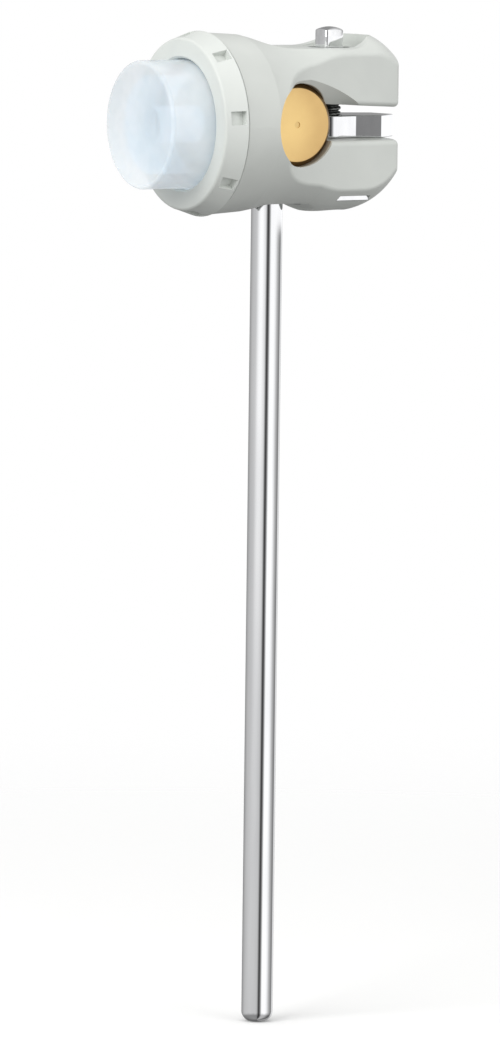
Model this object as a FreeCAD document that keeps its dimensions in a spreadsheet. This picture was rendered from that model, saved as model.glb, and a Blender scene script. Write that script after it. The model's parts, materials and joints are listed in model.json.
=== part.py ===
import FreeCAD, Part
import math
import os
import re

import Sketcher

# Bass drum beater: a head that tilts on a cross barrel at the top of a steel shaft.
# X runs along the barrel, the striker faces -Y and +Z points up the shaft.
# The origin is on the shaft axis where its straight clamping length begins.
# Head pieces are drawn about the pivot, where the barrel axis crosses the shaft axis.

SIZES = {
    # shaft
    "shaft_diameter": 8.0,
    "shaft_end_round": 2.6,
    "pivot_height": 227.6,
    "tenon_diameter": 6.0,
    "tenon_rise": 3.5,
    "tenon_end_play": 1.0,
    # pivot barrel
    "barrel_diameter": 21.0,
    "barrel_length": 27.6,
    "barrel_chamfer": 1.2,
    "barrel_seat": 3.0,
    "centre_mark_diameter": 1.6,
    "centre_mark_depth": 0.2,
    "press_play": 0.01,
    "bore_play": 0.05,
    # head outline, set out from the barrel
    "head_wall": 11.9,
    "cup_step": 0.6,
    "cup_depth": 9.8,
    "crease_inset": 0.3,
    "waist_inset": 3.5,
    "crest_reach": 2.9,
    "upper_waist_dip": 1.2,
    "upper_lobe_swell": 1.0,
    "upper_round": 12.6,
    "lower_waist_dip": 0.85,
    "lower_start_dip": 0.5,
    "lower_lobe_swell": 0.4,
    "lower_round": 15.6,
    "lobe_along_share": 0.492,
    "lobe_rise_share": 0.747,
    "neck_inset": 2.9,
    "flat_depth": 6.9,
    "flat_front_share": 0.2857,
    "rear_reach": 16.8,
    "flat_rear_inset": 5.7,
    "rear_tip_inset": 1.4,
    "neck_side_share": 0.265,
    "neck_along_share": 0.567,
    "round_share": 0.292893,
    # low top of the upper jaw round the screw head
    "scoop_inset": 0.8,
    "scoop_dip": 2.0,
    "scoop_depth": 3.4,
    "scoop_seat_depth": 3.6,
    "scoop_lead": 3.2,
    "scoop_trail": 9.8,
    "scoop_radius": 10.2,
    "scoop_bend_share": 0.24,
    "scoop_wall_along_share": 0.62,
    "scoop_wall_up_share": 0.27,
    # flat in the underside round the shaft
    "saddle_inset": 1.2,
    "saddle_depth": 2.1,
    "saddle_ramp": 4.4,
    "saddle_rear_ramp": 4.0,
    "saddle_rear_gap": 0.1,
    "saddle_bend_share": 0.27,
    "shaft_slot_inset": 1.2,
    "shaft_slot_play": 0.75,
    # rear slot between the jaws
    "slot_low": 4.2,
    "slot_high": 5.5,
    "slot_high_rear": 3.6,
    # flare from the slot's ceiling up to the side faces, beside the barrel
    "flare_depth": 4.2,
    "flare_margin": 2.6,
    "flare_dip": 0.3,
    "flare_rise": 4.8,
    "flare_run": 8.1,
    "flare_lead": 4.2,
    "flare_lead_dip": 1.3,
    "flare_crest": 2.9,
    "flare_lead_share": 0.42,
    "flare_lead_rise_share": 0.65,
    "flare_along_share": 0.5,
    "flare_drop_share": 0.332,
    # cup and its spigot
    "spigot_step": 2.8,
    "spigot_reach": 3.3,
    "spigot_wall": 1.5,
    "seat_ledge": 4.7,
    "cavity_wall": 5.1,
    # retaining ring
    "ring_step": 0.4,
    "ring_reach": 6.2,
    "ring_face_step": 2.5,
    "ring_bevel_step": 1.6,
    "ring_bevel_depth": 0.8,
    "ring_edge": 0.5,
    "ring_gap": 0.05,
    "ring_lip": 2.5,
    "ring_lip_play": 0.4,
    "ring_lip_round": 0.5,
    "notch_width": 3.4,
    "notch_depth": 2.2,
    "notch_rim": 0.9,
    "notch_length": 3.8,
    "thread_play": 0.08,
    # striker
    "flange_side_play": 0.4,
    "flange_step": 2.1,
    "flange_thickness": 2.9,
    "flange_play": 0.1,
    "striker_reach": 12.1,
    "striker_round": 1.0,
    "striker_wall": 3.4,
    "striker_side_wall": 3.8,
    "post_radius": 4.6,
    "post_back": 1.2,
    "gasket_thickness": 0.8,
    "gasket_width": 3.4,
    # clamp screw, washer and nut
    "screw_gap": 7.7,
    "screw_diameter": 6.35,
    "screw_square": 5.6,
    "screw_head_height": 6.1,
    "screw_crown": 1.1,
    "screw_dome_share": 0.25,
    "screw_tip_reach": 1.0,
    "screw_tip_chamfer": 0.7,
    "collar_diameter": 9.4,
    "collar_thickness": 1.5,
    "washer_diameter": 10.2,
    "washer_thickness": 1.0,
    "washer_play": 0.35,
    "face_play": 0.05,
    "counterbore_depth": 3.4,
    "counterbore_play": 0.35,
    "screw_hole_play": 0.45,
    "nut_inset": 4.1,
    "nut_plate_width": 9.7,
    "nut_plate_half": 11.6,
    "nut_plate_thickness": 1.3,
    "nut_barrel_diameter": 9.2,
    "nut_barrel_length": 6.0,
    # weight
    "weight_flats": 14.8,
    "weight_reach": 10.85,
    "weight_height": 5.7,
    "weight_hub_radius": 5.0,
    # soft edges of the moulded head
    "jaw_round": 1.3,
    # spare length of every cut
    "overrun": 4.0,
}
# Distances from the pivot that follow from the sizes.
PLACES = {
    "head_radius": "barrel_diameter / 2 + head_wall",
    "cup_radius": "head_radius + cup_step",
    "crease_place": "barrel_diameter / 2 - crease_inset",
    "cup_shoulder": "crease_place + cup_depth",
    "waist_end": "barrel_diameter / 2 - waist_inset",
    "lobe_crest": "barrel_diameter / 2 + crest_reach",
    "upper_waist_radius": "head_radius - upper_waist_dip",
    "upper_lobe_start": "head_radius",
    "upper_lobe_radius": "head_radius + upper_lobe_swell",
    "lower_waist_radius": "head_radius - lower_waist_dip",
    "lower_lobe_start": "head_radius - lower_start_dip",
    "lower_lobe_radius": "head_radius + lower_lobe_swell",
    "neck_front": "barrel_diameter / 2 - neck_inset",
    "flat_half": "head_radius - flat_depth",
    "flat_front": "barrel_diameter / 2 * flat_front_share",
    "screw_place": "barrel_diameter / 2 + screw_gap",
    "rear_end": "screw_place + rear_reach",
    "flat_rear": "rear_end - flat_rear_inset",
    "rear_tip": "rear_end - rear_tip_inset",
    "scoop_front": "crease_place - scoop_inset",
    "scoop_floor": "head_radius - scoop_depth",
    "scoop_seat": "head_radius - scoop_seat_depth",
    "scoop_rise": "screw_place - scoop_lead",
    "scoop_rear": "screw_place + scoop_trail",
    "saddle_front": "crease_place - saddle_inset",
    "saddle_floor": "head_radius - saddle_depth",
    "saddle_near": "saddle_front - saddle_ramp",
    "saddle_rear": "barrel_diameter / 2 + saddle_rear_gap",
    "saddle_far": "saddle_rear - saddle_rear_ramp",
    "shaft_slot_reach": "barrel_diameter / 2 - shaft_slot_inset",
    "slot_slope": "(slot_high - slot_high_rear) / (rear_end + overrun)",
    "flare_top": "barrel_diameter / 2 + bore_play + flare_rise",
    "flare_end": "barrel_diameter / 2 + flare_run",
    "flare_low": "slot_high - slot_slope * flare_end - flare_dip",
    "flare_start": "barrel_diameter / 2 + bore_play - flare_lead_dip",
    "spigot_radius": "cup_radius - spigot_step",
    "spigot_front": "cup_shoulder + spigot_reach",
    "seat_radius": "spigot_radius - spigot_wall",
    "cavity_radius": "seat_radius - seat_ledge",
    "cavity_floor": "barrel_diameter / 2 + cavity_wall",
    "ring_radius": "cup_radius + ring_step",
    "ring_front": "cup_shoulder + ring_reach",
    "ring_face_radius": "ring_radius - ring_face_step",
    "ring_bevel_radius": "ring_radius - ring_bevel_step",
    "ring_bevel_place": "ring_front - ring_bevel_depth",
    "notch_floor": "ring_radius - notch_depth",
    "flange_radius": "seat_radius - flange_side_play",
    "striker_radius": "flange_radius - flange_step",
    "striker_front": "ring_front + striker_reach",
    "hollow_radius": "striker_radius - striker_side_wall",
    "counterbore_floor": "scoop_seat - counterbore_depth",
    "nut_ceiling": "head_radius - nut_inset",
    "screw_tip": "nut_ceiling + screw_tip_reach",
}
ANGLES = {
    "ring_turn": -6.4,
    "weight_turn": 8.0,
}
TINY = 0.001
NOTCHES = 8
HEXAGON = 6

doc = FreeCAD.newDocument("beater")
sheet = doc.addObject("Spreadsheet::Sheet", "dims")
names = {**SIZES, **ANGLES, **PLACES}
for row, (name, size) in enumerate(names.items(), 1):
    sheet.set("A%d" % row, name)
    sheet.set("B%d" % row, "=%s" % size)
    sheet.setAlias("B%d" % row, name)
doc.recompute()


def cell(found):
    word = found.group()
    return "dims." + word if word in names else word


# Every word that is a named size points to its cell of the sheet.
def bound(text):
    return re.sub(r"[a-z_]+", cell, text)


def new_body(label, along="0", up="pivot_height"):
    body = doc.addObject("PartDesign::Body", label)
    body.Label = label
    for axis, text in (("y", along), ("z", up)):
        body.setExpression("Placement.Base." + axis, bound(text))
    return body


def turn_body(body, axis, angle):
    body.Placement = FreeCAD.Placement(FreeCAD.Vector(), FreeCAD.Rotation(axis, sheet.get(angle)))
    body.setExpression("Placement.Rotation.Angle", bound(angle) + " * 1 deg")


def plane(body, role):
    return next(feature for feature in body.Origin.OriginFeatures if feature.Role == role)


def new_sketch(body, name, role, lift="0"):
    sketch = body.newObject("Sketcher::SketchObject", name)
    sketch.AttachmentSupport = [(plane(body, role), "")]
    sketch.MapMode = "FlatFace"
    sketch.setExpression("AttachmentOffset.Base.z", bound(lift))
    doc.recompute()
    return sketch


def vector(sketch, across, up):
    return FreeCAD.Vector(sketch.evalExpression(bound(across)), sketch.evalExpression(bound(up)), 0)


# A sketch point is held by its two distances from the origin, or by an axis.
def hold(sketch, geometry, end, across, up):
    for kind, text, axis in (("DistanceX", across, -2), ("DistanceY", up, -1)):
        if text == "0":
            sketch.addConstraint(Sketcher.Constraint("PointOnObject", geometry, end, axis))
        else:
            size = sketch.evalExpression(bound(text))
            index = sketch.addConstraint(Sketcher.Constraint(kind, -1, 1, geometry, end, size))
            sketch.setExpression("Constraints[%d]" % index, bound(text))


# A closed outline: each corner has two distances, and two more for an arc's middle point.
def outline(sketch, corners):
    points = [vector(sketch, *corner[:2]) for corner in corners]
    ends = []
    for number, corner in enumerate(corners):
        start, end = points[number - 1], points[number]
        if len(corner) == 2:
            edge = sketch.addGeometry(Part.LineSegment(start, end), False)
            ends.append((edge, 1, 2))
            continue
        middle = vector(sketch, *corner[2:])
        edge = sketch.addGeometry(Part.Arc(start, middle, end), False)
        first = sketch.getPoint(edge, 1)
        forward = first.distanceToPoint(start) < first.distanceToPoint(end)
        ends.append((edge, 1, 2) if forward else (edge, 2, 1))
        through = sketch.addGeometry(Part.Point(middle), True)
        hold(sketch, through, 1, *corner[2:])
        sketch.addConstraint(Sketcher.Constraint("PointOnObject", through, 1, edge))
    for number, corner in enumerate(corners):
        edge, start, end = ends[number]
        before, _, joint = ends[number - 1]
        sketch.addConstraint(Sketcher.Constraint("Coincident", before, joint, edge, start))
        hold(sketch, edge, end, *corner[:2])
    return sketch


def circle(sketch, radius, across="0", up="0"):
    size = sketch.evalExpression(bound(radius))
    ring = Part.Circle(vector(sketch, across, up), FreeCAD.Vector(0, 0, 1), size)
    edge = sketch.addGeometry(ring, False)
    hold(sketch, edge, 3, across, up)
    index = sketch.addConstraint(Sketcher.Constraint("Radius", edge, size))
    sketch.setExpression("Constraints[%d]" % index, bound(radius))
    return sketch


def rectangle(sketch, low_across, high_across, low_up, high_up):
    return outline(sketch, [
        (low_across, low_up),
        (high_across, low_up),
        (high_across, high_up),
        (low_across, high_up),
    ])


def finish(body, feature):
    doc.recompute()
    body.Tip = feature
    return feature


def revolve(body, sketch, axis, angle=360):
    feature = body.newObject("PartDesign::Revolution", sketch.Name + "_turned")
    feature.Profile = sketch
    feature.ReferenceAxis = (sketch, [axis])
    feature.Angle = angle
    feature.Midplane = True
    return finish(body, feature)


def groove(body, sketch, axis):
    before = body.Shape.Volume
    feature = body.newObject("PartDesign::Groove", sketch.Name + "_cut")
    feature.Profile = sketch
    feature.ReferenceAxis = (sketch, [axis])
    feature.Angle = 360
    finish(body, feature)
    assert body.Shape.Volume < before, sketch.Name
    return feature


def pad(body, sketch, length, both_ways=False):
    feature = body.newObject("PartDesign::Pad", sketch.Name + "_padded")
    feature.Profile = sketch
    feature.setExpression("Length", bound(length))
    if both_ways:
        feature.SideType = "Symmetric"
    return finish(body, feature)


# A pocket runs through everything unless it has a depth.
def pocket(body, sketch, side="both", depth=None):
    before = body.Shape.Volume
    feature = body.newObject("PartDesign::Pocket", sketch.Name + "_cut")
    feature.Profile = sketch
    feature.Type = "Length" if depth else "ThroughAll"
    if depth:
        feature.setExpression("Length", bound(depth))
    if side == "both":
        feature.SideType = "Symmetric"
    feature.Reversed = side == "up"
    finish(body, feature)
    assert body.Shape.Volume < before, sketch.Name
    return feature


# Edges of the body whose middle point passes the test, rounded or bevelled together.
def soften(body, name, kind, size, test):
    base = body.Tip
    chosen = []
    for number, edge in enumerate(base.Shape.Edges, 1):
        middle = edge.valueAt((edge.FirstParameter + edge.LastParameter) / 2)
        if test(edge, middle):
            chosen.append("Edge%d" % number)
    feature = body.newObject("PartDesign::" + kind, name)
    feature.Base = (base, chosen)
    feature.setExpression("Radius" if kind == "Fillet" else "Size", bound(size))
    return finish(body, feature)


def size_of(text):
    return sheet.evalExpression(bound(text))


def shaft():
    body = new_body("shaft", up="0")
    shoulder = "pivot_height - barrel_diameter / 2 + barrel_seat"
    sketch = outline(new_sketch(body, "shaft_half", "YZ_Plane"), [
        ("0", "-shaft_end_round"),
        ("shaft_diameter / 2 - shaft_end_round", "-shaft_end_round"),
        ("shaft_diameter / 2", "0",
         "shaft_diameter / 2 - shaft_end_round * round_share", "shaft_end_round * (round_share - 1)"),
        ("shaft_diameter / 2", shoulder),
        ("tenon_diameter / 2", shoulder),
        ("tenon_diameter / 2", "pivot_height + tenon_rise"),
        ("0", "pivot_height + tenon_rise"),
    ])
    revolve(body, sketch, "V_Axis")
    return body


def pivot_barrel():
    body = new_body("pivot_barrel")
    end = circle(new_sketch(body, "barrel_end", "YZ_Plane"), "barrel_diameter / 2")
    pad(body, end, "barrel_length", True)
    soften(body, "barrel_bevel", "Chamfer", "barrel_chamfer", lambda edge, middle: len(edge.Vertexes) == 1)
    seat = new_sketch(body, "shaft_seat", "XY_Plane", "barrel_seat - barrel_diameter / 2")
    pocket(body, circle(seat, "shaft_diameter / 2 + shaft_slot_play"), "down")
    tenon = new_sketch(body, "tenon_hole", "XY_Plane", "tenon_rise + tenon_end_play")
    pocket(body, circle(tenon, "tenon_diameter / 2 + press_play"), "down")
    mark = new_sketch(body, "centre_mark", "YZ_Plane", "barrel_length / 2")
    marked = pocket(body, circle(mark, "centre_mark_diameter / 2"), "down", "centre_mark_depth")
    mirror = body.newObject("PartDesign::Mirrored", "centre_marks")
    mirror.Originals = [marked]
    mirror.MirrorPlane = (plane(body, "YZ_Plane"), [""])
    finish(body, mirror)
    return body


# One half of the head's outer form: spigot, cup, waist and jaw lobe with its rounded rear.
def head_half(body, name, sign, side):
    lobe = side + "_lobe_radius"
    start = side + "_lobe_start"
    rounding = side + "_round"
    sketch = outline(new_sketch(body, name, "YZ_Plane"), [
        ("-spigot_front", "0"),
        ("-spigot_front", sign + "spigot_radius"),
        ("-cup_shoulder", sign + "spigot_radius"),
        ("-cup_shoulder", sign + "cup_radius"),
        ("-crease_place", sign + "head_radius"),
        ("waist_end", sign + start, "(waist_end - crease_place) / 2", sign + side + "_waist_radius"),
        ("lobe_crest", sign + lobe,
         "waist_end + (lobe_crest - waist_end) * lobe_along_share",
         "%s(%s + (%s - %s) * lobe_rise_share)" % (sign, start, lobe, start)),
        ("rear_end - " + rounding, sign + lobe),
        ("rear_end", "%s(%s - %s)" % (sign, lobe, rounding),
         "rear_end - %s * round_share" % rounding, "%s(%s - %s * round_share)" % (sign, lobe, rounding)),
        ("rear_end", "0"),
    ])
    revolve(body, sketch, "H_Axis", 180)


# The plan outline that is kept: full cup, hollow necks, side flats and a rounded rear.
def head_sides(body):
    sketch = new_sketch(body, "plan", "XY_Plane")
    wide = "(cup_radius + overrun)"
    side = "flat_half + (head_radius - flat_half) * neck_side_share"
    along = "flat_front - (flat_front + neck_front) * neck_along_share"
    corners = [
        ("-" + wide, "-spigot_front - overrun"),
        (wide, "-spigot_front - overrun"),
        (wide, "-neck_front"),
        ("head_radius", "-neck_front"),
        ("flat_half", "flat_front", side, along),
        ("flat_half", "flat_rear"),
        ("-flat_half", "flat_rear", "0", "rear_tip"),
        ("-flat_half", "flat_front"),
        ("-head_radius", "-neck_front", "-(%s)" % side, along),
        ("-" + wide, "-neck_front"),
    ]
    outline(sketch, corners)
    outer = "(cup_radius + 2 * overrun)"
    rectangle(sketch, "-" + outer, outer, "-spigot_front - 2 * overrun", "rear_end + overrun")
    pocket(body, sketch)


def upright(edge):
    low, high = (corner.Point for corner in (edge.Vertexes[0], edge.Vertexes[-1]))
    return math.hypot(high.x - low.x, high.y - low.y) < TINY and abs(high.z - low.z) > TINY


# Outer edges of the jaws: round the side and rear faces and along both lips of the slot.
def jaw_edge(edge, middle):
    rear = size_of("flat_rear")
    if upright(edge):
        return abs(middle.y - rear) < TINY
    beside = abs(middle.x) > size_of("flat_half") - TINY
    rim = abs(middle.z) < size_of("barrel_diameter / 2 + bore_play") + TINY
    lip = -size_of("slot_low") - TINY < middle.z < size_of("slot_high")
    start = 0 if rim else -size_of("neck_front")
    return middle.y > rear + TINY or beside and middle.y > start and (lip or not rim)


# The low top of the upper jaw, which dips behind the cup and rises behind the screw.
def head_scoop(body):
    top = "(upper_lobe_radius + overrun)"
    sketch = outline(new_sketch(body, "scoop_side", "YZ_Plane"), [
        ("-scoop_front", top),
        ("-scoop_front", "head_radius"),
        ("scoop_dip", "scoop_floor", "(scoop_dip - scoop_front) / 2",
         "scoop_floor + (head_radius - scoop_floor) * scoop_bend_share"),
        ("scoop_rise", "scoop_seat"),
        ("scoop_rear", top, "scoop_rise + (scoop_rear - scoop_rise) * scoop_wall_along_share",
         "scoop_seat + (%s - scoop_seat) * scoop_wall_up_share" % top),
    ])
    pocket(body, sketch)
    seat = new_sketch(body, "scoop_round", "XY_Plane", "scoop_seat")
    pocket(body, circle(seat, "scoop_radius", "0", "screw_place"), "up")


def head_saddle(body):
    below = "-(cup_radius + overrun)"
    bend = "-(saddle_floor + (head_radius - saddle_floor) * saddle_bend_share)"
    sketch = outline(new_sketch(body, "saddle", "YZ_Plane"), [
        ("-saddle_front", below),
        ("-saddle_front", "-head_radius"),
        ("-saddle_near", "-saddle_floor", "-(saddle_front + saddle_near) / 2", bend),
        ("saddle_far", "-saddle_floor"),
        ("saddle_rear", "-head_radius", "(saddle_far + saddle_rear) / 2", bend),
        ("saddle_rear", below),
    ])
    pocket(body, sketch)
    slot = new_sketch(body, "shaft_slot", "XY_Plane")
    half = "(shaft_diameter / 2 + shaft_slot_play)"
    straight = "(shaft_slot_reach - %s)" % half
    outline(slot, [
        (half, straight),
        ("-" + half, straight, "0", "shaft_slot_reach"),
        ("-" + half, "-" + straight),
        (half, "-" + straight, "0", "-shaft_slot_reach"),
    ])
    pocket(body, slot, "down")


def head_jaws(body):
    bore = circle(new_sketch(body, "bore", "YZ_Plane"), "barrel_diameter / 2 + bore_play")
    pocket(body, bore)
    sketch = outline(new_sketch(body, "slot", "YZ_Plane"), [
        ("0", "-slot_low"),
        ("rear_end + overrun", "-slot_low"),
        ("rear_end + overrun", "slot_high_rear"),
        ("0", "slot_high"),
    ])
    pocket(body, sketch)


# On each side the slot's ceiling flares up beside the barrel, between a flat and an arched outline.
def head_flares(body):
    inner = outline(new_sketch(body, "flare_inner", "YZ_Plane", "flat_half - flare_depth"), [
        ("-flare_lead", "0"),
        ("flare_end", "0"),
        ("flare_end", "flare_low"),
        ("flare_crest", "slot_high - slot_slope * flare_crest - flare_dip"),
        ("-flare_lead", "slot_high - flare_dip"),
    ])
    outer = outline(new_sketch(body, "flare_outer", "YZ_Plane", "flat_half + flare_margin"), [
        ("-flare_lead", "0"),
        ("flare_end", "0"),
        ("flare_end", "flare_low"),
        ("flare_crest", "flare_top", "flare_end - (flare_end - flare_crest) * flare_along_share",
         "flare_top - (flare_top - flare_low) * flare_drop_share"),
        ("-flare_lead", "flare_start", "(flare_lead + flare_crest) * flare_lead_share - flare_lead",
         "flare_start + (flare_top - flare_start) * flare_lead_rise_share"),
    ])
    before = body.Shape.Volume
    flare = body.newObject("PartDesign::SubtractiveLoft", "flare")
    flare.Profile = inner
    flare.Sections = [outer]
    flare.Ruled = True
    finish(body, flare)
    mirror = body.newObject("PartDesign::Mirrored", "flares")
    mirror.Originals = [flare]
    mirror.MirrorPlane = (plane(body, "YZ_Plane"), [""])
    finish(body, mirror)
    assert body.Shape.Volume < before, mirror.Name


def head_screw_holes(body):
    hole = new_sketch(body, "screw_hole", "XY_Plane")
    pocket(body, circle(hole, "screw_diameter / 2 + screw_hole_play", "0", "screw_place"))
    counterbore = new_sketch(body, "counterbore", "XY_Plane", "counterbore_floor")
    pocket(body, circle(counterbore, "washer_diameter / 2 + counterbore_play", "0", "screw_place"), "up")
    barrel = new_sketch(body, "nut_barrel_hole", "XY_Plane", "-nut_ceiling + nut_barrel_length + face_play")
    pocket(body, circle(barrel, "nut_barrel_diameter / 2 + press_play", "0", "screw_place"), "down")
    plate = new_sketch(body, "nut_plate_slot", "YZ_Plane")
    half = "(nut_plate_width / 2 + press_play)"
    rectangle(plate, "screw_place - " + half, "screw_place + " + half,
              "-nut_ceiling - nut_plate_thickness - press_play", "-nut_ceiling")
    pocket(body, plate)


def head_cup(body):
    mouth = "-spigot_front - overrun"
    sketch = outline(new_sketch(body, "cup_hollow", "YZ_Plane"), [
        (mouth, "0"),
        (mouth, "seat_radius"),
        ("-" + seat_floor, "seat_radius"),
        ("-" + seat_floor, "cavity_radius"),
        ("-cavity_floor", "cavity_radius"),
        ("-cavity_floor", "0"),
    ])
    groove(body, sketch, "H_Axis")


# The ring's lip holds the striker's flange against the gasket on the cup's seat.
ring_rear = "(cup_shoulder + ring_gap)"
lip_rear = "(ring_front - ring_lip)"
flange_rear = "(%s - flange_play - flange_thickness)" % lip_rear
seat_floor = "(%s - face_play - gasket_thickness)" % flange_rear


def head_body():
    body = new_body("head_body")
    head_half(body, "upper_half", "", "upper")
    head_half(body, "lower_half", "-", "lower")
    head_sides(body)
    head_jaws(body)
    soften(body, "jaw_rounds", "Fillet", "jaw_round", jaw_edge)
    head_flares(body)
    head_scoop(body)
    head_saddle(body)
    head_screw_holes(body)
    head_cup(body)
    return body


def retaining_ring():
    body = new_body("retaining_ring")
    thread = "spigot_radius + thread_play"
    lip = "striker_radius + ring_lip_play"
    sketch = outline(new_sketch(body, "ring_half", "YZ_Plane"), [
        ("-ring_front + ring_lip_round", lip),
        ("-ring_front", lip + " + ring_lip_round"),
        ("-ring_front", "ring_face_radius"),
        ("-ring_bevel_place", "ring_bevel_radius",
         "-ring_front + (ring_front - ring_bevel_place) * round_share",
         "ring_bevel_radius - (ring_bevel_radius - ring_face_radius) * round_share"),
        ("-%s - ring_edge" % ring_rear, "ring_radius"),
        ("-" + ring_rear, "ring_radius - ring_edge"),
        ("-" + ring_rear, thread),
        ("-" + lip_rear, thread),
        ("-" + lip_rear, lip),
    ])
    revolve(body, sketch, "H_Axis")
    notch = new_sketch(body, "notch", "XZ_Plane", ring_rear + " + notch_rim")
    rectangle(notch, "notch_floor", "ring_radius + overrun", "-notch_width / 2", "notch_width / 2")
    cut = pocket(body, notch, "up", "notch_length")
    pattern = body.newObject("PartDesign::PolarPattern", "notches")
    pattern.Originals = [cut]
    pattern.Axis = (plane(body, "Y_Axis"), [""])
    pattern.Angle = 360
    pattern.Occurrences = NOTCHES
    finish(body, pattern)
    turn_body(body, FreeCAD.Vector(0, 1, 0), "ring_turn")
    return body


def striker():
    body = new_body("striker")
    inner = "-(striker_front - striker_wall)"
    sketch = outline(new_sketch(body, "striker_half", "YZ_Plane"), [
        ("-striker_front", "0"),
        ("-striker_front", "striker_radius - striker_round"),
        ("-striker_front + striker_round", "striker_radius",
         "-striker_front + striker_round * round_share", "striker_radius - striker_round * round_share"),
        ("-%s - flange_thickness" % flange_rear, "striker_radius"),
        ("-%s - flange_thickness" % flange_rear, "flange_radius"),
        ("-" + flange_rear, "flange_radius"),
        ("-" + flange_rear, "hollow_radius"),
        (inner, "hollow_radius"),
        (inner, "post_radius"),
        ("-%s - post_back" % flange_rear, "post_radius"),
        ("-%s - post_back" % flange_rear, "0"),
    ])
    revolve(body, sketch, "H_Axis")
    return body


def striker_gasket():
    body = new_body("striker_gasket")
    sketch = new_sketch(body, "gasket_half", "YZ_Plane")
    rectangle(sketch, "-%s - gasket_thickness" % seat_floor, "-" + seat_floor,
              "flange_radius - gasket_width", "flange_radius")
    revolve(body, sketch, "H_Axis")
    return body


collar_low = "(counterbore_floor + washer_thickness + face_play)"
collar_high = "(%s + collar_thickness)" % collar_low


def clamp_screw():
    body = new_body("clamp_screw", along="screw_place")
    sketch = outline(new_sketch(body, "screw_half", "YZ_Plane"), [
        ("0", "-screw_tip"),
        ("screw_diameter / 2 - screw_tip_chamfer", "-screw_tip"),
        ("screw_diameter / 2", "-screw_tip + screw_tip_chamfer"),
        ("screw_diameter / 2", collar_low),
        ("collar_diameter / 2", collar_low),
        ("collar_diameter / 2", collar_high),
        ("0", collar_high),
    ])
    revolve(body, sketch, "V_Axis")
    square = new_sketch(body, "screw_square_end", "XY_Plane", collar_high)
    rectangle(square, "-screw_square / 2", "screw_square / 2", "-screw_square / 2", "screw_square / 2")
    pad(body, square, "screw_head_height")
    # the crown: a dome over the square, down to its corners
    top = "(%s + screw_head_height)" % collar_high
    corner = "screw_square * sqrt(2) / 2"
    crown = outline(new_sketch(body, "crown", "YZ_Plane"), [
        ("0", top + " + overrun"),
        ("0", top),
        (corner, top + " - screw_crown", corner + " / 2", top + " - screw_crown * screw_dome_share"),
        (corner, top + " + overrun"),
    ])
    groove(body, crown, "V_Axis")
    return body


def clamp_washer():
    body = new_body("clamp_washer", along="screw_place")
    sketch = new_sketch(body, "washer_half", "YZ_Plane")
    rectangle(sketch, "screw_diameter / 2 + washer_play", "washer_diameter / 2",
              "counterbore_floor", "counterbore_floor + washer_thickness")
    revolve(body, sketch, "V_Axis")
    return body


def clamp_nut():
    body = new_body("clamp_nut", along="screw_place")
    plate = new_sketch(body, "nut_plate", "XY_Plane", "-nut_ceiling - nut_plate_thickness")
    rectangle(plate, "-nut_plate_half", "nut_plate_half", "-nut_plate_width / 2", "nut_plate_width / 2")
    pad(body, plate, "nut_plate_thickness")
    barrel = circle(new_sketch(body, "nut_barrel", "XY_Plane", "-nut_ceiling"), "nut_barrel_diameter / 2")
    pad(body, barrel, "nut_barrel_length")
    pocket(body, circle(new_sketch(body, "nut_thread", "XY_Plane"), "screw_diameter / 2 + thread_play"))
    return body


# A hexagon behind the clamp screw, joined by a neck to the hub that the screw passes through.
def weight():
    body = new_body("weight", along="screw_place")
    floor = "-slot_low + face_play"
    hexagon = new_sketch(body, "hexagon", "XY_Plane", floor)
    corner = "weight_flats / sqrt(3)"
    outline(hexagon, [
        ("%s * cos(%d deg)" % (corner, 360 * step / HEXAGON),
         "weight_reach + %s * sin(%d deg)" % (corner, 360 * step / HEXAGON))
        for step in range(HEXAGON)
    ])
    pad(body, hexagon, "weight_height")
    neck = new_sketch(body, "weight_neck", "XY_Plane", floor)
    rectangle(neck, "-weight_hub_radius", "weight_hub_radius", "0", "weight_reach")
    pad(body, neck, "weight_height")
    pad(body, circle(new_sketch(body, "weight_hub", "XY_Plane", floor), "weight_hub_radius"), "weight_height")
    hole = new_sketch(body, "weight_hole", "XY_Plane")
    pocket(body, circle(hole, "screw_diameter / 2 + screw_hole_play"))
    turn_body(body, FreeCAD.Vector(0, 0, 1), "weight_turn")
    return body


pieces = [
    shaft(),
    pivot_barrel(),
    head_body(),
    retaining_ring(),
    striker(),
    striker_gasket(),
    clamp_screw(),
    clamp_washer(),
    clamp_nut(),
    weight(),
]
doc.recompute()

failed = [thing.Name for thing in doc.Objects if "Invalid" in thing.State or "Error" in thing.State]
assert not failed, failed
for piece in pieces:
    shape = piece.Shape
    assert not shape.isNull() and shape.isValid() and len(shape.Solids) == 1, piece.Label
    print(piece.Label, round(shape.Volume, 1))

os.makedirs("parts", exist_ok=True)
for piece in pieces:
    piece.Shape.exportStep("parts/%s.step" % piece.Label)
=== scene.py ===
import json
import math

import bmesh
import bpy
import numpy as np
from mathutils import Matrix, Vector


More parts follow.
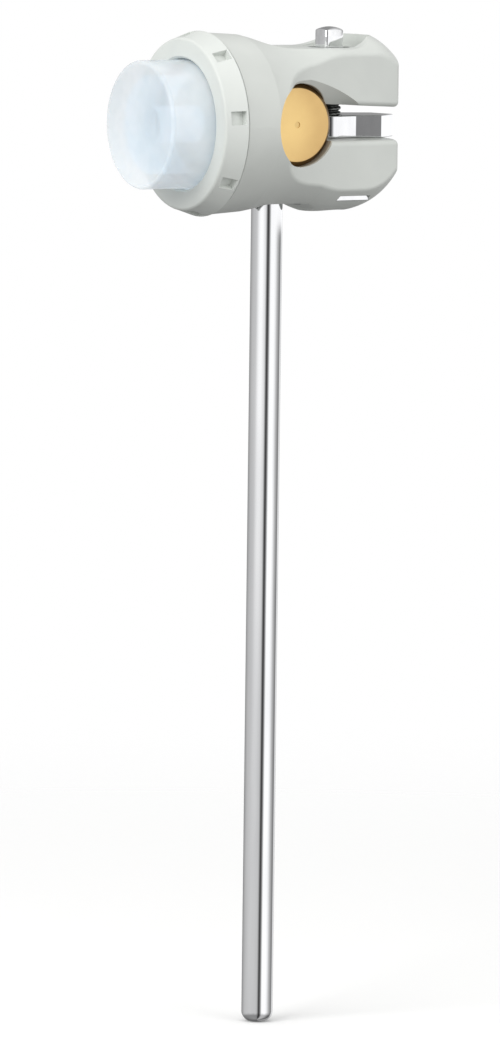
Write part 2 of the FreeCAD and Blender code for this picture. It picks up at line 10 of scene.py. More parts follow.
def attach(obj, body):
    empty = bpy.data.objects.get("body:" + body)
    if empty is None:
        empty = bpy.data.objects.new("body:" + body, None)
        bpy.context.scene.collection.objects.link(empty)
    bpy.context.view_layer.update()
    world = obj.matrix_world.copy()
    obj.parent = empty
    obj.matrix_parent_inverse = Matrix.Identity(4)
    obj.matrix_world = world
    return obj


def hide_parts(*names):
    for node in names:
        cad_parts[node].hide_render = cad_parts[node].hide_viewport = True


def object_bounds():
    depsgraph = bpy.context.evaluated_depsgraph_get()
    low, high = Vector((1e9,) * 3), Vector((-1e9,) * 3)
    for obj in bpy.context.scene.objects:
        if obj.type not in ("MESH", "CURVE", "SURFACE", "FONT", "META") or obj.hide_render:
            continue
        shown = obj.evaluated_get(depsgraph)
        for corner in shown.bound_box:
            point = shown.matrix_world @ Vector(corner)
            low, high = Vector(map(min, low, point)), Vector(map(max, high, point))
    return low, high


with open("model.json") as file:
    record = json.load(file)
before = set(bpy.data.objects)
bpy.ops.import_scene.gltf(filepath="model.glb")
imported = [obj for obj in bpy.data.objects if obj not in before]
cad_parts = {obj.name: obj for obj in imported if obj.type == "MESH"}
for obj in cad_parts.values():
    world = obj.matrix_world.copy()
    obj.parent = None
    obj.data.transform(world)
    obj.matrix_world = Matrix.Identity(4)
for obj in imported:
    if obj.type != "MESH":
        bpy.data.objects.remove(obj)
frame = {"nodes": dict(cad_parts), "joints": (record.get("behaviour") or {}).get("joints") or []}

cadBox = [[float(number) for number in corner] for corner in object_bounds()]
bpy.context.scene.view_settings.view_transform = "Standard"
jointPlaces = {joint["name"]: joint.get("pos_m") for joint in frame["joints"]}
pivot = Vector(jointPlaces["head_tilt"])   # middle of the barrel
screwPlace = jointPlaces["clamp_turn"][1]  # axis of the clamp screw, behind the barrel
facing = 57.5                              # the camera stands this many degrees round from the front
white = (1.0, 1.0, 1.0, 1.0)
black = (0.0, 0.0, 0.0, 1.0)
print("frame loaded:", len(frame["nodes"]), "CAD nodes")


# one output socket of a node tree; arithmetic on it adds Math nodes
class Wire:
    def __init__(self, tree, socket):
        self.tree = tree
        self.socket = socket

    # any other node: its type, its settings, then the values or wires of its sockets
    def node(self, kind, output, settings=None, **sockets):
        made = self.tree.nodes.new(kind)
        for name, value in (settings or {}).items():
            if name == "stops":
                setStops(made.color_ramp, value)
            else:
                setattr(made, name, value)
        for name, value in sockets.items():
            socket = pick(made.inputs, name)
            if isinstance(value, Wire):
                self.tree.links.new(value.socket, socket)
            else:
                socket.default_value = value
        return Wire(self.tree, pick(made.outputs, output))

    def maths(self, operation, first, second=0.0):
        return self.node("ShaderNodeMath", "Value", {"operation": operation},
                         Value=first, Value_001=second)

    def vectors(self, operation, output, first, second=(0.0, 0.0, 0.0)):
        return self.node("ShaderNodeVectorMath", output, {"operation": operation},
                         Vector=first, Vector_001=second)

    def __add__(self, other):
        return self.maths("ADD", self, other)

    def __sub__(self, other):
        return self.maths("SUBTRACT", self, other)

    def __rsub__(self, other):
        return self.maths("SUBTRACT", other, self)

    def __mul__(self, other):
        return self.maths("MULTIPLY", self, other)

    def __truediv__(self, other):
        return self.maths("DIVIDE", self, other)

    def __pow__(self, other):
        return self.maths("POWER", self, other)

    __radd__ = __add__
    __rmul__ = __mul__

    # 0 below low, 1 above high, and a soft step between
    def step(self, low, high):
        return self.node("ShaderNodeMapRange", "Result", {"interpolation_type": "SMOOTHSTEP"},
                         Value=self, From_Min=low, From_Max=high)

    # one colour at 0 and the other at 1
    def mix(self, first, second):
        return self.node("ShaderNodeMix", "Result_Color", {"data_type": "RGBA"},
                         Factor_Float=self, A_Color=first, B_Color=second)

    # shades by the angle round the object, where -0.5 and 0.5 meet behind it
    def shades(self, stops):
        turned = [(0.5 + angle / 360, shade) for angle, shade in stops]
        return self.node("ShaderNodeValToRGB", "Color", {"stops": turned}, Fac=self + 0.5)


# sockets are found by identifier, then by name, with _ for a space
def pick(sockets, name):
    for socket in sockets:
        if socket.identifier == name:
            return socket
    return next(socket for socket in sockets if socket.name.replace(" ", "_") == name)


def setStops(ramp, stops):
    ramp.elements[0].position, ramp.elements[1].position = stops[0][0], stops[-1][0]
    for stop in stops[1:-1]:
        ramp.elements.new(stop[0])
    for element, (place, shade) in zip(ramp.elements, stops):
        element.position = place
        element.color = (shade, shade, shade, 1.0)


def rgb(colour):
    return (*colour, 1.0)


# a new material: its shader, and its Object coordinates as a wire
def newFinish(name, values):
    material = bpy.data.materials.new(name)
    material.use_nodes = True
    tree = material.node_tree
    shader = tree.nodes["Principled BSDF"]
    for socket, value in values.items():
        shader.inputs[socket].default_value = value
    places = Wire(tree, tree.nodes.new("ShaderNodeTexCoord").outputs["Object"])
    return material, shader, places


def feed(shader, socket, wire):
    wire.tree.links.new(wire.socket, shader.inputs[socket])


# a pattern is its waves per metre and its octaves of detail
def noise(places, pattern, stretch=None):
    scale, detail = pattern
    if stretch:
        places = places.node("ShaderNodeMapping", "Vector", Vector=places, Scale=stretch)
    return places.node("ShaderNodeTexNoise", "Fac", Vector=places, Scale=scale, Detail=detail)


def bump(places, height, distance, strength):
    return places.node("ShaderNodeBump", "Normal", Height=height, Distance=distance, Strength=strength)


# distance from an axis through the given point, along X, Y or Z
def fromAxis(places, centre, axis):
    across = tuple(0.0 if letter == axis else 1.0 for letter in "XYZ")
    moved = places.vectors("SUBTRACT", "Vector", places, tuple(centre))
    return places.vectors("LENGTH", "Value", places.vectors("MULTIPLY", "Vector", moved, across))


# one coordinate: X, Y or Z
def part(places, axis):
    return places.node("ShaderNodeSeparateXYZ", axis, Vector=places)


headPlastic = {
    "colour": (0.628, 0.65, 0.618),
    "deep": (0.578, 0.60, 0.572),
    "cloud": (55.0, 3.0),
    "cloudEdge": (0.25, 0.8),
    "sheen": 0.45,
    "roughness": 0.40,
    "rub": (240.0, 4.0),
    "rubEdge": (0.42, 0.7),
    "rubRoughness": 0.07,
    "grain": (5200.0, 2.0),
    "grainDepth": 0.000012,
    "grainStrength": 0.5,
    "stain": (0.235, 0.155, 0.07),  # painted shade: the wall of the cross bore painted brown, as it looks in shadow with light thrown from the brass barrel
    "stainShare": 0.7,
    "bore": (0.01056, 0.01076),     # radius at which the painted shade ends
    "boreMouth": (0.0142, 0.0150),  # and distance from the middle
}

ringPlastic = {
    **headPlastic,
    "colour": (0.703, 0.729, 0.695),
    "deep": (0.658, 0.684, 0.655),
    "roughness": 0.38,
    "stainShare": 0.0,
}


# moulded plastic: slow cloudy tone, fine spark-eroded grain, faint rubbed patches and painted brown shade in
# the bore
def makePlastic(name, look):
    material, shader, places = newFinish(name, {"Specular IOR Level": look["sheen"]})
    cloud = noise(places, look["cloud"]).step(*look["cloudEdge"])
    tone = cloud.mix(rgb(look["deep"]), rgb(look["colour"]))
    # painted shade: the bore's wall is tinted brown, deep in from its mouth
    inBore = 1.0 - fromAxis(places, pivot, "X").step(*look["bore"])
    deepIn = 1.0 - places.maths("ABSOLUTE", part(places, "X")).step(*look["boreMouth"])
    feed(shader, "Base Color", (look["stainShare"] * inBore * deepIn).mix(tone, rgb(look["stain"])))
    rubbed = noise(places, look["rub"]).step(*look["rubEdge"])
    feed(shader, "Roughness", look["roughness"] + look["rubRoughness"] * rubbed)
    grain = noise(places, look["grain"])
    feed(shader, "Normal", bump(places, grain, look["grainDepth"], look["grainStrength"]))
    return material


strikerPlastic = {
    "colour": (0.92, 0.95, 0.965),
    # painted shade: the hollow's walls are darker and bluer than the outer skin
    "inside": (0.55, 0.755, 0.92),
    "cloud": (110.0, 2.0),
    "cloudEdge": (0.3, 0.75),
    "cloudShare": 0.15,
    "radius": 0.0162,
    "skin": 0.0012,                 # what lies deeper than this is the wall of the hollow
    "sideMilk": 0.58,               # shares of light that the side, the face and the hollow hold back
    "faceMilk": 0.46,
    "insideMilk": 0.32,
    "cloudMilk": 0.06,
    "glowColour": (0.88, 0.94, 1.0),
    "glow": 0.20,                   # painted glow: emission on the wall's shaded lower half and in the hollow, in place of light that wanders in the milky wall
    "glowHeight": (-0.0150, 0.0080),
    "insideGlow": 0.27,
    "scatter": 0.25,
    "scatterDepth": 0.0015,
    "scatterReach": (0.9, 1.0, 1.1),
    "sheen": 0.5,
    "roughness": 0.16,
    "smear": (420.0, 3.0),
    "smearRoughness": 0.10,
    "grain": (2600.0, 2.0),
    "grainDepth": 0.000008,
    "grainStrength": 0.3,
}


# milky plastic that lets some light through, so the hollow and the post inside it show faintly; a painted
# glow lifts its shaded lower side and the hollow
def makeMilky(name, look):
    material, shader, places = newFinish(name, {
        "Subsurface Weight": look["scatter"],
        "Subsurface Radius": look["scatterReach"],
        "Subsurface Scale": look["scatterDepth"],
        "Specular IOR Level": look["sheen"],
        "Emission Strength": 1.0,
    })
    skin = look["skin"]
    front = cadBox[0][1]
    side = fromAxis(places, pivot, "Y").step(look["radius"] - skin, look["radius"] - skin / 2)
    face = 1.0 - part(places, "Y").step(front + skin / 2, front + skin)
    outer = places.maths("MAXIMUM", side, face)
    cloud = noise(places, look["cloud"]).step(*look["cloudEdge"])
    # painted shade: the hollow's walls take the darker, bluer inside colour
    pale = (1 - look["cloudShare"]) * outer + look["cloudShare"] * cloud
    feed(shader, "Base Color", pale.mix(rgb(look["inside"]), rgb(look["colour"])))
    milk = look["insideMilk"] + (look["faceMilk"] - look["insideMilk"]) * outer
    milk = milk + (look["sideMilk"] - look["faceMilk"]) * side * (1.0 - face)
    feed(shader, "Alpha", milk + look["cloudMilk"] * cloud)
    # painted glow: the lower half of the side and the hollow's walls emit light
    shaded = side * (1.0 - (part(places, "Z") - pivot.z).step(*look["glowHeight"]))
    paintedGlow = look["glow"] * shaded + look["insideGlow"] * (1.0 - outer)
    feed(shader, "Emission Color", paintedGlow.mix(black, rgb(look["glowColour"])))
    smear = noise(places, look["smear"])
    feed(shader, "Roughness", look["roughness"] + look["smearRoughness"] * smear)
    grain = noise(places, look["grain"])
    feed(shader, "Normal", bump(places, grain, look["grainDepth"], look["grainStrength"]))
    return material


barrelBrass = {
    "colour": (0.97, 0.70, 0.305),
    "worn": (0.72, 0.475, 0.20),
    "cloud": (190.0, 3.0),
    "cloudShare": 0.35,
    "freshShare": 0.8,              # painted shade: the end face is painted darker towards the edge and the rear
    "wearOut": 0.6,
    "wearBack": 0.5,
    "wearEdge": (0.0, 0.008),
    # painted shade: the bevel round the end face is painted dark brown
    "rim": (0.20, 0.115, 0.04),
    "rimShare": 0.9,
    "rimEdge": (0.0091, 0.0096),    # radius at which the end face turns into its bevel
    "markShare": 0.12,
    "markEdge": (0.0005, 0.0010),   # radius of the mark in the middle
    "metal": 0.85,
    "sheen": 0.5,
    "roughness": 0.42,
    "smear": (700.0, 3.0),
    "smearRoughness": 0.08,
    "pitch": 0.00022,               # of the turning marks
    "grain": (2400.0, 2.0),
    "grainShare": 1.5,
    "markDepth": 0.000004,
    "markStrength": 0.35,
}


# turned brass: fine rings on the end faces, painted shade darkening the face towards the edge and the rear, a
# bevel painted dark brown as shade, and a centre mark
def makeBrass(name, look):
    plain = {"Metallic": look["metal"], "Specular IOR Level": look["sheen"]}
    material, shader, places = newFinish(name, plain)
    radius = fromAxis(places, pivot, "X")
    # painted shade: darker with distance from the middle and towards the rear, mixed with a random tone
    paintedShade = look["wearOut"] * radius + look["wearBack"] * part(places, "Y")
    cloud = noise(places, look["cloud"])
    litTone = look["cloudShare"] * cloud + look["freshShare"] * (1.0 - paintedShade.step(*look["wearEdge"]))
    tone = litTone.mix(rgb(look["worn"]), rgb(look["colour"]))
    mark = look["markShare"] * (1.0 - radius.step(*look["markEdge"]))
    # painted shade: the bevel turns dark brown
    rim = look["rimShare"] * radius.step(*look["rimEdge"])
    feed(shader, "Base Color", rim.mix(mark.mix(tone, rgb(look["rim"])), rgb(look["rim"])))
    smear = noise(places, look["smear"])
    feed(shader, "Roughness", look["roughness"] + look["smearRoughness"] * smear)
    rings = places.maths("SINE", radius * (2 * math.pi / look["pitch"]))
    marks = rings + look["grainShare"] * noise(places, look["grain"])
    feed(shader, "Normal", bump(places, marks, look["markDepth"], look["markStrength"]))
    return material


chrome = {
    "colour": (0.93, 0.935, 0.945),
    "dull": (0.84, 0.845, 0.86),
    "haze": (260.0, 3.0),
    "hazeEdge": (0.3, 0.75),
    "roughness": 0.045,
    "hazeRoughness": 0.03,
    "polish": (900.0, 2.0),
    "polishDepth": 0.000003,
    "polishStrength": 0.15,
    "shaftStretch": (1.0, 1.0, 0.08),
    "hardwareStretch": (1.0, 1.0, 0.3),
}


# chrome plate: polish with faint lengthwise haze
def makeChrome(name, look, stretch):
    material, shader, places = newFinish(name, {"Metallic": 1.0})
    haze = noise(places, look["haze"], stretch)
    feed(shader, "Base Color", haze.step(*look["hazeEdge"]).mix(rgb(look["dull"]), rgb(look["colour"])))
    feed(shader, "Roughness", look["roughness"] + look["hazeRoughness"] * haze)
    polish = noise(places, look["polish"], stretch)
    feed(shader, "Normal", bump(places, polish, look["polishDepth"], look["polishStrength"]))
    return material


screwSteel = {
    "colour": chrome["colour"],
    "dull": chrome["dull"],
    "haze": (700.0, 3.0),
    "hazeEdge": (0.3, 0.75),
    "thread": (0.13, 0.135, 0.13),
    "plateEdge": (0.0160, 0.0164),  # above the barrel's axis, just under the collar
    "threadRoughness": 0.30,
    "plateRoughness": 0.06,
    "hazeRoughness": 0.03,
}


# the clamp screw: a chromed key head, with the thread below the collar painted near black
def makeScrew(name, look):
    material, shader, places = newFinish(name, {"Metallic": 1.0})
    haze = noise(places, look["haze"])
    bright = haze.step(*look["hazeEdge"]).mix(rgb(look["dull"]), rgb(look["colour"]))
    plated = (part(places, "Z") - pivot.z).step(*look["plateEdge"])
    feed(shader, "Base Color", plated.mix(rgb(look["thread"]), bright))
    smoother = look["threadRoughness"] - look["plateRoughness"]
    feed(shader, "Roughness", look["threadRoughness"] - smoother * plated + look["hazeRoughness"] * haze)
    return material


washerZinc = {
    "colour": (0.62, 0.63, 0.64),
    "dark": (0.496, 0.504, 0.512),
    "spangle": (1500.0, 4.0),
    "spangleEdge": (0.3, 0.7),
    "roughness": 0.28,
    "spangleRoughness": 0.15,
}


# zinc plate: fine spangle
def makeZinc(name, look):
    material, shader, places = newFinish(name, {"Metallic": 1.0})
    spangle = noise(places, look["spangle"])
    bright = spangle.step(*look["spangleEdge"])
    feed(shader, "Base Color", bright.mix(rgb(look["dark"]), rgb(look["colour"])))
    feed(shader, "Roughness", look["roughness"] + look["spangleRoughness"] * spangle)
    return material


gasketRubber = {
    "colour": (0.36, 0.37, 0.37),
    "bloomed": (0.468, 0.481, 0.481),
    "bloom": (900.0, 4.0),
    "bloomEdge": (0.4, 0.8),
    "sheen": 0.3,
    "roughness": 0.65,
    "bloomRoughness": 0.2,
    "bloomDepth": 0.00001,
    "bloomStrength": 0.4,
}


# grey rubber with a pale bloom
def makeRubber(name, look):
    material, shader, places = newFinish(name, {"Specular IOR Level": look["sheen"]})
    bloom = noise(places, look["bloom"])
    pale = bloom.step(*look["bloomEdge"])
    feed(shader, "Base Color", pale.mix(rgb(look["colour"]), rgb(look["bloomed"])))
    feed(shader, "Roughness", look["roughness"] + look["bloomRoughness"] * bloom)
    feed(shader, "Normal", bump(places, bloom, look["bloomDepth"], look["bloomStrength"]))
    return material


finishes = {
    "head": makePlastic("headPlastic", headPlastic),
    "ring": makePlastic("ringPlastic", ringPlastic),
    "striker": makeMilky("strikerMilky", strikerPlastic),
    "barrel": makeBrass("barrelBrass", barrelBrass),
    "shaft": makeChrome("shaftChrome", chrome, chrome["shaftStretch"]),
    "hardware": makeChrome("hardwareChrome", chrome, chrome["hardwareStretch"]),
    "screw": makeScrew("screwSteel", screwSteel),
    "washer": makeZinc("washerZinc", washerZinc),
    "gasket": makeRubber("gasketRubber", gasketRubber),
}
print("finishes made:", len(finishes))


def dress(mesh, finish):
    mesh.materials.clear()
    mesh.materials.append(finishes[finish])


# these CAD nodes keep their meshes and take a finish
for nodeName, finishName in (
    ("shaft", "shaft"),
    ("pivot_barrel", "barrel"),
    ("head_body", "head"),
    ("striker", "striker"),
    ("striker_gasket", "gasket"),
    ("clamp_washer", "washer"),
):
    dress(frame["nodes"][nodeName].data, finishName)
print("CAD nodes dressed")


# a piece of the scene's own, which rides on a body and stands in for a CAD node
def addPiece(name, mesh, finish, body, node):
    piece = bpy.data.objects.new(name, mesh)
    bpy.context.scene.collection.objects.link(piece)
    dress(mesh, finish)
    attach(piece, body)
    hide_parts(node)
    return piece


softEdge = {
    "retaining_ring": 0.00035,
    "weight": 0.00030,
    "clamp_nut": 0.00025,
    "segments": 3,
    "sharpAngle": 22.0,             # degrees; the weight's neck meets its hexagon at 30
    "flatAngle": 0.5,
    "mergeGap": 0.000002,
}


# a merged copy of a CAD node, whose sharp edges get a small round
def softenedCopy(name, node, finish, body):
    mesh = frame["nodes"][node].data.copy()
    work = bmesh.new()
    work.from_mesh(mesh)
    bmesh.ops.remove_doubles(work, verts=work.verts, dist=softEdge["mergeGap"])
    flat = math.radians(softEdge["flatAngle"])
    bmesh.ops.dissolve_limit(work, angle_limit=flat, verts=work.verts, edges=work.edges)
    work.to_mesh(mesh)
    work.free()
    stored = mesh.attributes.get("custom_normal")
    if stored:
        mesh.attributes.remove(stored)  # the copy shades from its own faces
    piece = addPiece(name, mesh, finish, body, node)
    sharp = math.radians(softEdge["sharpAngle"])
    rounding = piece.modifiers.new("softEdge", "BEVEL")
    rounding.width = softEdge[node]
    rounding.segments = softEdge["segments"]
    rounding.limit_method = "ANGLE"
    rounding.angle_limit = sharp
    rounding.harden_normals = True
    mesh.shade_smooth()
    mesh.set_sharp_from_angle(angle=sharp)


softenedCopy("notchedRing", "retaining_ring", "ring", "ring")
softenedCopy("hexWeight", "weight", "hardware", "weight")
softenedCopy("nutPlate", "clamp_nut", "hardware", "head")
print("softened pieces made")

# radii, and heights above the barrel's axis
clampScrew = {
    "crest": 0.003165,
    "root": 0.00258,
    "pitch": 0.00127,
    "crestEdge": 1 / 6,             # the flank's two ends, in shares of the pitch from the ridge's middle
    "rootEdge": 4 / 9,
    "tip": -0.0193,
    "chamfer": 0.0007,
    "shankTop": 0.01645,
    "collarRadius": 0.0047,
    "collarTop": 0.01795,
    "collarEdge": 0.0002,
    "squareFoot": 0.002,            # straight foot of the square above the collar
    "half": 0.0028,                 # of the square
    "corner": 7.0,                  # power of the square's rounded outline
    "headTop": 0.02405,
    "crown": 0.0011,
    # rings of the domed top: share of the square, and drop for the rounded edge
    "crownRings": (
        (1.0, 0.0002), (0.97, 0.00005), (0.9, 0.0), (0.75, 0.0), (0.55, 0.0), (0.3, 0.0), (0.12, 0.0),
    ),
    "columns": 128,
    "rowsPerTurn": 14,
    "sharpAngle": 40.0,
}


# closed skin from rows of points: columns wrap round, and both ends close on a middle point
def skin(name, rows, low, high):
    count, columns = rows.shape[:2]
    vertices = np.vstack([rows.reshape(-1, 3), [low, high]])
    row, column = np.meshgrid(np.arange(count - 1), np.arange(columns), indexing="ij")
    here = row * columns + column
    beside = row * columns + (column + 1) % columns
    quads = np.stack([here, beside, beside + columns, here + columns], axis=-1).reshape(-1, 4)
    around = np.arange(columns)
    after = (around + 1) % columns
    base = (count - 1) * columns
    lowCap = np.stack([after, around, np.full(columns, count * columns)], axis=-1)
    highCap = np.stack([base + around, base + after, np.full(columns, count * columns + 1)], axis=-1)
    mesh = bpy.data.meshes.new(name)
    mesh.from_pydata(vertices.tolist(), [], quads.tolist() + lowCap.tolist() + highCap.tolist())
    mesh.update()
    return mesh


# the screw as rings up its axis: the shank's radius is a ridge wound once round in each pitch,
# and the head's radius is a square whose outline is a high-power circle
def screwMesh(look):
    turn = np.linspace(0, 2 * np.pi, look["columns"], endpoint=False)
    unit = np.ones((1, look["columns"]))
    threadRows = int((look["shankTop"] - look["tip"]) / look["pitch"] * look["rowsPerTurn"])
    level = np.linspace(look["tip"], look["shankTop"], threadRows)[:, None]
    phase = (level / look["pitch"] - turn[None, :] / (2 * np.pi)) % 1.0
    flank = (look["rootEdge"] - np.abs(phase - 0.5)) / (look["rootEdge"] - look["crestEdge"])
    shank = look["root"] + (look["crest"] - look["root"]) * np.clip(flank, 0.0, 1.0)
    shank = np.minimum(shank, look["crest"] - look["chamfer"] + (level - look["tip"]))

    half, power = look["half"], look["corner"]
    side, end = np.abs(np.cos(turn)), np.abs(np.sin(turn))
    rounded = half * (side ** power + end ** power) ** (-1 / power)
    square = np.minimum(rounded, half / np.maximum(side, end))[None, :]

    collar, edge, collarTop = look["collarRadius"], look["collarEdge"], look["collarTop"]
    rings = [
        (shank, level * unit),
        (unit * (collar - edge), unit * look["shankTop"]),
        (unit * collar, unit * (look["shankTop"] + edge)),
        (unit * collar, unit * (collarTop - edge)),
        (unit * (collar - edge), unit * collarTop),
        (square, unit * collarTop),
        (square, unit * (collarTop + look["squareFoot"])),
    ]
    for share, drop in look["crownRings"]:
        dome = look["crown"] * (square * share / (half * math.sqrt(2))) ** 2
        rings.append((square * share, look["headTop"] - dome - drop))
    radius = np.vstack([ring[0] for ring in rings])
    height = np.vstack([ring[1] for ring in rings])
    across, along = radius * np.cos(turn), radius * np.sin(turn)
    points = np.stack([across, screwPlace + along, pivot.z + height], axis=-1)
    ends = [(0, screwPlace, pivot.z + look[name]) for name in ("tip", "headTop")]
    return skin("clampScrew", points, *ends)


screwSkin = screwMesh(clampScrew)
screwSkin.shade_smooth()
screwSkin.set_sharp_from_angle(angle=math.radians(clampScrew["sharpAngle"]))
addPiece("keyScrew", screwSkin, "screw", "screw", "clamp_screw")
print("screw made:", len(screwSkin.polygons), "faces")

studio = {
    "above": 0.94,                  # fill light from above and below
    "below": 0.32,
    "fillEdge": (-0.75, 0.75),
    # brightness by angle round the object: behind on the left, the camera at 0, behind on the right
    "bands": (
        (-180, 0.26), (-147, 0.29), (-128, 0.41), (-101, 0.49), (-80, 0.54), (-61, 0.565), (-30, 0.55),
        (-5, 0.50), (2, 0.33), (7, 0.11), (12, 0.04), (16, 0.05), (19, 0.14), (22, 0.21), (26, 0.36),
        (30, 0.72), (34, 0.95), (39, 1.0), (61, 1.0), (70, 0.92), (80, 0.75), (89, 0.53), (101, 0.38),
        (112, 0.25), (128, 0.22), (137, 0.80), (162, 0.60), (180, 0.26),
    ),
    "bandLift": 1.12,
    "groundMirror": 0.45,           # the room is reflected darker below these heights of the ray
    "groundEdge": (-0.60, -0.28),
}


# the room: soft light from above, upright bright and dark bands in reflections, white behind
def makeRoom(look):
    world = bpy.data.worlds.new("studioRoom")
    bpy.context.scene.world = world
    world.use_nodes = True
    tree = world.node_tree
    places = Wire(tree, tree.nodes.new("ShaderNodeTexCoord").outputs["Generated"])
    path = tree.nodes.new("ShaderNodeLightPath")
    camera, glossy, through = (Wire(tree, path.outputs[name]) for name in (
        "Is Camera Ray", "Is Glossy Ray", "Is Transmission Ray"))
    turn = math.radians(facing)
    ahead = places.vectors("DOT_PRODUCT", "Value", places, (math.sin(turn), -math.cos(turn), 0.0))
    aside = places.vectors("DOT_PRODUCT", "Value", places, (math.cos(turn), math.sin(turn), 0.0))
    bands = (places.maths("ARCTAN2", aside, ahead) / (2 * math.pi)).shades(look["bands"])
    height = part(places, "Z")
    fill = height.step(*look["fillEdge"]) * (look["above"] - look["below"]) + look["below"]
    aloft = height.step(*look["groundEdge"])
    mirror = look["bandLift"] * bands * (look["groundMirror"] + (1 - look["groundMirror"]) * aloft)
    shown = places.maths("MAXIMUM", camera, through)
    strength = shown + (1.0 - shown) * (glossy * mirror + (1.0 - glossy) * fill)
    tree.links.new(strength.socket, tree.nodes["Background"].inputs["Strength"])
    tree.nodes["Background"].inputs["Color"].default_value = white


makeRoom(studio)

paperFloor = {
    "colour": (0.86, 0.86, 0.855),
    "bounce": (0.30, 0.30, 0.30),
    "roughness": 0.9,
    "radius": 1.3,
    "sides": 96,
    "fade": (0.12, 0.60),           # the camera sees the floor run out into the white behind it
}


# a round floor under the tip; the camera sees it pale, and it sends little light back up
def makeFloor(look):
    turn = np.linspace(0, 2 * np.pi, look["sides"], endpoint=False)
    rim = np.stack([np.cos(turn), np.sin(turn), np.zeros(look["sides"])], axis=-1) * look["radius"]
    rim[:, 2] = cadBox[0][2]
    mesh = bpy.data.meshes.new("floor")
    mesh.from_pydata(rim.tolist(), [], [list(range(look["sides"]))])
    floor = bpy.data.objects.new("floor", mesh)
    bpy.context.scene.collection.objects.link(floor)
    plain = {"Roughness": look["roughness"], "Specular IOR Level": 0.0}
    material, shader, places = newFinish("floorPaper", plain)
    path = material.node_tree.nodes.new("ShaderNodeLightPath")
    camera = Wire(material.node_tree, path.outputs["Is Camera Ray"])
    feed(shader, "Base Color", camera.mix(rgb(look["bounce"]), rgb(look["colour"])))
    feed(shader, "Alpha", 1.0 - camera * fromAxis(places, (0.0, 0.0, 0.0), "Z").step(*look["fade"]))
    mesh.materials.append(material)
    floor.visible_glossy = False


makeFloor(paperFloor)

lamps = {
    "key": {"at": (0.25, -1.10, 0.90), "size": 0.9, "power": 9.4, "mirrored": True},
    "side": {"at": (1.10, 0.35, 0.45), "size": 0.9, "power": 3.6, "mirrored": False},
}
lampAim = Vector((0.0, 0.0, 0.2))


def addLamp(name, look):
    light = bpy.data.lights.new(name, "AREA")
    light.size = look["size"]
    light.energy = look["power"]
    lamp = bpy.data.objects.new(name, light)
    lamp.location = look["at"]
    lamp.rotation_euler = (lampAim - Vector(look["at"])).to_track_quat("-Z", "Y").to_euler()
    lamp.visible_glossy = look["mirrored"]
    bpy.context.scene.collection.objects.link(lamp)


for lampName, lampLook in lamps.items():
    addLamp(lampName, lampLook)
print("studio lit")

cards = {
    "leftCard": {
        "radius": 0.35,
        "low": -0.06,
        "high": 0.24,
        "start": -0.036,            # the veil thickens upward from here
        "rise": 0.20,
        "bend": 1.3,
        "veil": ((-76, 0.0), (-66, 0.25), (-58, 0.60), (-50, 0.87), (-42, 1.0), (-27, 1.0), (-19, 0.85),
                 (-10, 0.58), (-4, 0.45), (1, 0.0)),
        "columns": 85,
    },
    "rightCard": {
        "radius": 0.35,
        "low": 0.176,
        "high": 0.30,
        "start": 0.176,
        "rise": 0.004,
        "bend": 1.0,
        "veil": ((48, 0.0), (54, 1.0), (160, 1.0), (172, 0.0)),
        "columns": 85,
    },
}


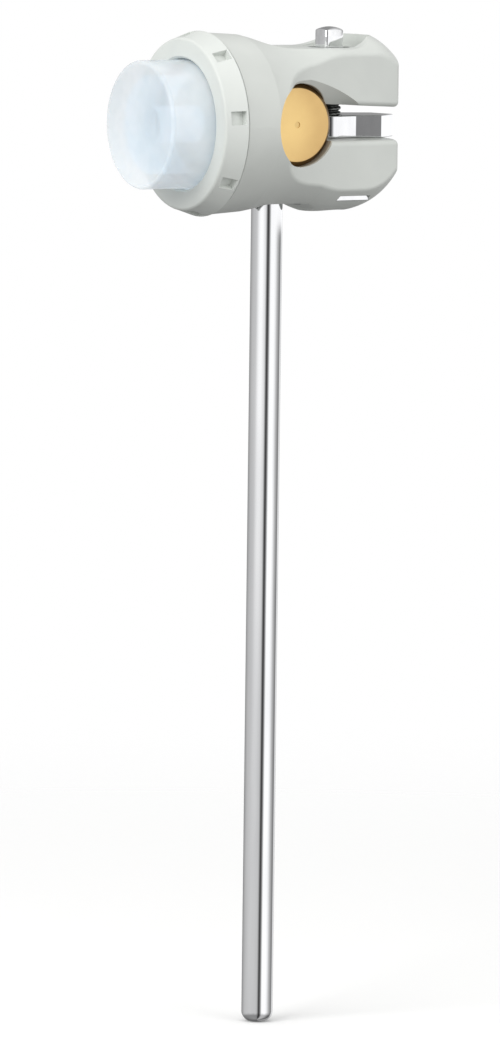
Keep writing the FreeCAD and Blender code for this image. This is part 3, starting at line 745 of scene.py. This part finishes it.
# a curved white veil beside the camera that only shows in reflections: its thickness grows with
# height, as a power of the share of its rise, and changes with the angle round the object
def addCard(name, look):
    toCamera = facing - 90
    columns = look["columns"]
    first, last = look["veil"][0][0], look["veil"][-1][0]
    turn = np.radians(np.linspace(toCamera + first, toCamera + last, columns))
    low = np.stack([np.cos(turn), np.sin(turn), np.zeros(columns)], axis=-1) * look["radius"]
    low[:, 2] = look["low"]
    high = low + [0, 0, look["high"] - look["low"]]
    here = np.arange(columns - 1)
    quads = np.stack([here, here + 1, here + 1 + columns, here + columns], axis=-1)
    mesh = bpy.data.meshes.new(name)
    mesh.from_pydata(np.vstack([low, high]).tolist(), [], quads.tolist())
    card = bpy.data.objects.new(name, mesh)
    bpy.context.scene.collection.objects.link(card)
    material = bpy.data.materials.new(name + "Veil")
    material.use_nodes = True
    tree = material.node_tree
    places = Wire(tree, tree.nodes.new("ShaderNodeTexCoord").outputs["Object"])
    angle = places.maths("ARCTAN2", part(places, "Y"), part(places, "X")) - math.radians(toCamera)
    veil = (angle / (2 * math.pi)).shades(look["veil"])
    share = places.node("ShaderNodeClamp", "Result", Value=(part(places, "Z") - look["start"]) / look["rise"])
    glow = places.node("ShaderNodeEmission", "Emission", Color=white, Strength=studio["bandLift"])
    clear = places.node("ShaderNodeBsdfTransparent", "BSDF", Color=white)
    thickness = veil * share ** look["bend"]
    mixed = places.node("ShaderNodeMixShader", "Shader", Fac=thickness, Shader=clear, Shader_001=glow)
    tree.links.new(mixed.socket, tree.nodes["Material Output"].inputs["Surface"])
    mesh.materials.append(material)
    for ray in ("camera", "diffuse", "transmission", "shadow", "volume_scatter"):
        setattr(card, "visible_" + ray, False)


for cardName, cardLook in cards.items():
    addCard(cardName, cardLook)
print("cards set up:", len(cards))

viewpoint = {
    "down": 5.9,                    # degrees
    "roll": 0.7,
    "distance": 2.0,
    "focal": 7900.0,                # in pixels of the picture
    "pivotPixel": (267.9, 122.2),
    "picture": (500.0, 1045.0),
    "sensor": 36.0,                 # millimetres
}


# the camera is set back along its view so that the pivot falls on its pixel
def addCamera(look):
    turn, down, roll = (math.radians(angle) for angle in (facing, look["down"], look["roll"]))
    ahead = Vector((-math.sin(turn) * math.cos(down), math.cos(turn) * math.cos(down), -math.sin(down)))
    level = Vector((math.cos(turn), math.sin(turn), 0.0))
    upward = level.cross(ahead)
    right = level * math.cos(roll) + upward * math.sin(roll)
    top = upward * math.cos(roll) - level * math.sin(roll)
    across, below = ((pixel - size / 2) / look["focal"]
                     for pixel, size in zip(look["pivotPixel"], look["picture"]))
    place = pivot - look["distance"] * (ahead + right * across - top * below)
    lens = bpy.data.cameras.new("camera")
    lens.sensor_width = look["sensor"]
    lens.lens = look["sensor"] * look["focal"] / look["picture"][1]
    camera = bpy.data.objects.new("camera", lens)
    camera.matrix_world = Matrix.Translation(place) @ Matrix((right, top, -ahead)).transposed().to_4x4()
    bpy.context.scene.collection.objects.link(camera)
    bpy.context.scene.camera = camera


addCamera(viewpoint)
print("camera placed")
